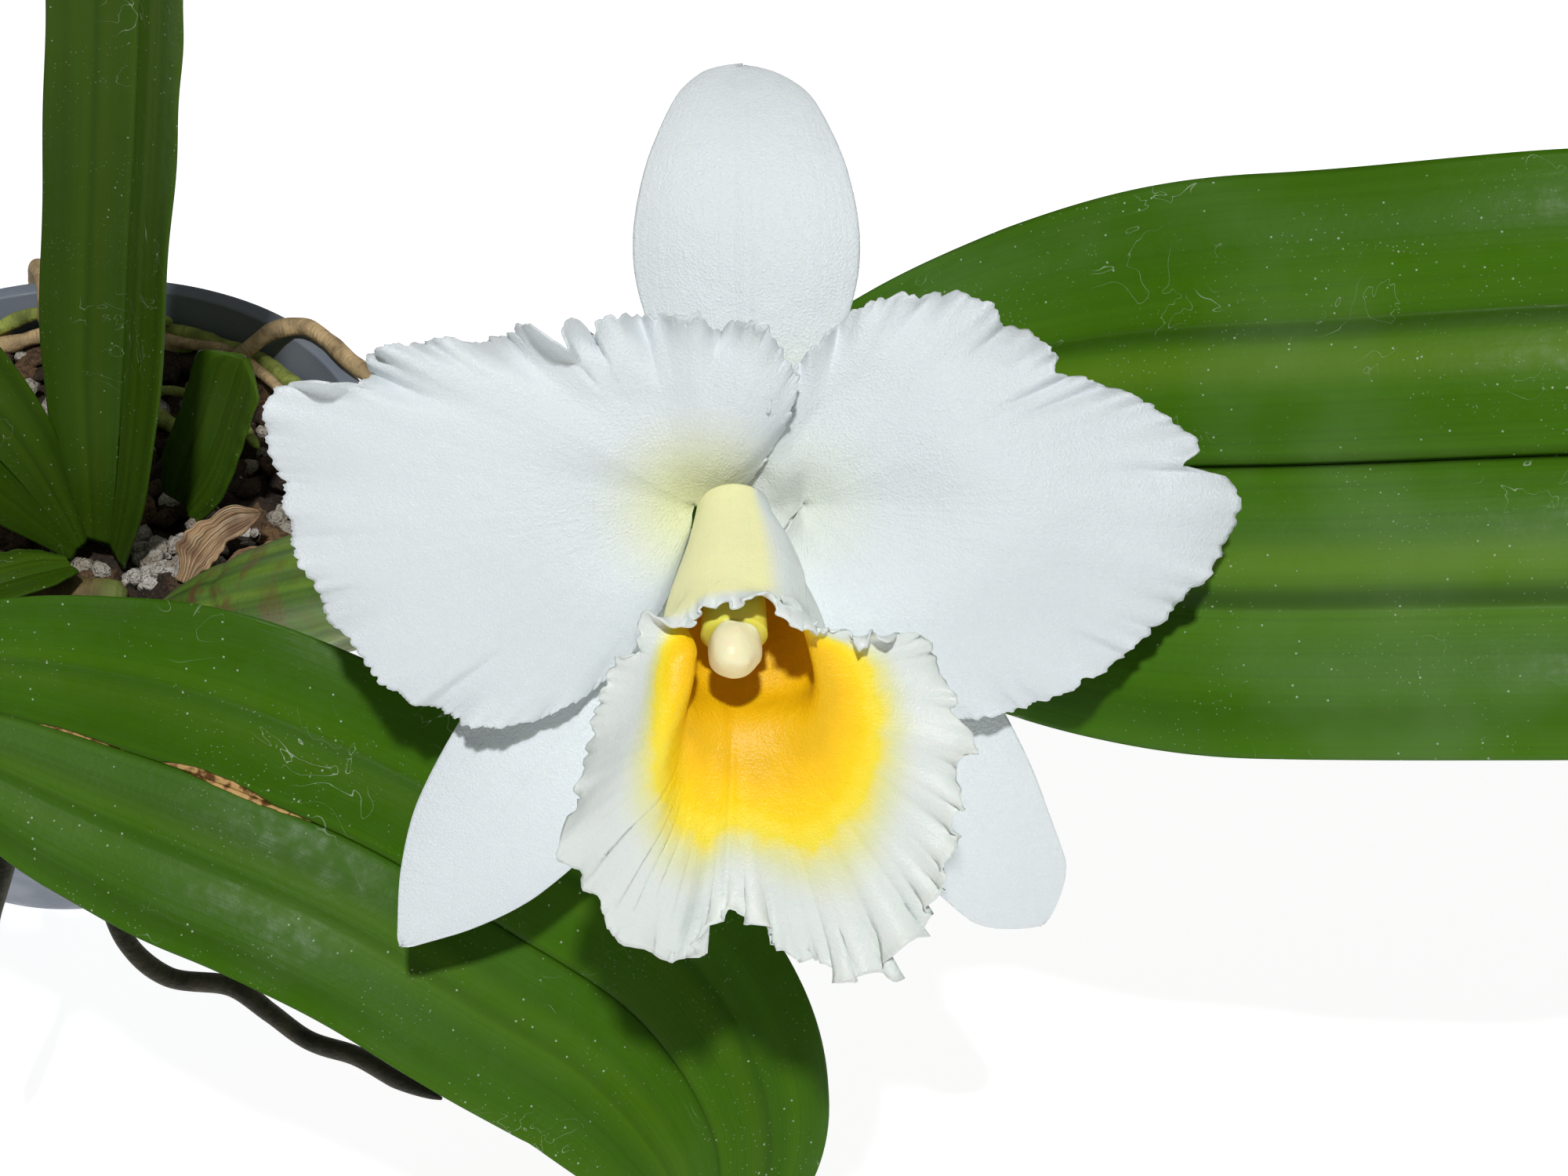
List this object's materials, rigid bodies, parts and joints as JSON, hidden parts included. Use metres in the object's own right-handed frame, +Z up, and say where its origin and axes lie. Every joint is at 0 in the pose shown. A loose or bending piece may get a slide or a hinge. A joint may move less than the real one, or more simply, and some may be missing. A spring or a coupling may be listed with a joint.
{
  "type": "potted orchid",
  "caption": "Orchid with a broad white flower, a frilled yellow-throated lip, strap leaves, pseudobulbs and roots, growing in bark in a shallow round plastic pot.",
  "frame": {"origin": "centre of the pot's flat underside", "axes": "+Z up out of the pot; the flower looks towards -Y and 42 degrees up, and leans out over the rim towards +X and -Y; +X is to the right of someone who looks at the flower"},
  "size_m": [0.5364, 0.3358, 0.2439],
  "materials": {
    "pot_plastic": "satin",
    "bark": "matte",
    "pumice": "matte",
    "bulb_green": "satin",
    "rhizome_brown": "matte",
    "leaf_green": "satin",
    "young_green": "satin",
    "dry_sheath": "matte",
    "root_tan": "matte",
    "root_green": "matte",
    "root_dark": "matte",
    "stalk_green": "satin",
    "tepal_white": "matte",
    "lip_white": "matte",
    "column_cream": "satin"
  },
  "bodies": {
    "root": {"pot": "pot_plastic", "potting_mix": "bark", "bark_chip_1": "bark", "bark_chip_2": "bark", "bark_chip_3": "bark", "bark_chip_4": "bark", "bark_chip_5": "bark", "bark_chip_6": "bark", "pumice_1": "pumice", "pumice_2": "pumice", "pumice_3": "pumice", "pumice_4": "pumice", "pumice_5": "pumice", "pumice_6": "pumice", "rhizome": "rhizome_brown", "pseudobulb_flowering": "bulb_green", "pseudobulb_front": "bulb_green", "pseudobulb_left": "bulb_green", "pseudobulb_back": "bulb_green", "pseudobulb_old": "bulb_green", "dry_sheath_flowering": "dry_sheath", "dry_sheath_front": "dry_sheath", "dry_sheath_left": "dry_sheath", "dry_sheath_old": "dry_sheath", "leaf_right": "leaf_green", "leaf_front": "leaf_green", "leaf_left": "leaf_green", "leaf_back": "leaf_green", "leaf_old": "leaf_green", "fan_leaf_upright": "young_green", "fan_leaf_left": "young_green", "fan_leaf_low": "young_green", "young_leaf": "young_green", "dry_husk_tall": "dry_sheath", "dry_husk_low": "dry_sheath", "root_over_rim_right": "root_tan", "root_over_rim_left": "root_tan", "root_round_back": "root_green", "root_round_left": "root_tan", "root_round_right": "root_green", "root_front": "root_green", "root_inner": "root_green", "aerial_root_front": "root_dark", "aerial_root_left": "root_dark", "dorsal_sepal": "tepal_white", "lateral_sepal_left": "tepal_white", "lateral_sepal_right": "tepal_white", "petal_left": "tepal_white", "petal_right": "tepal_white", "lip": "lip_white", "column": "column_cream", "anther_cap": "column_cream", "flower_stalk": "stalk_green", "spathe": "stalk_green"}
  },
  "joints": []
}
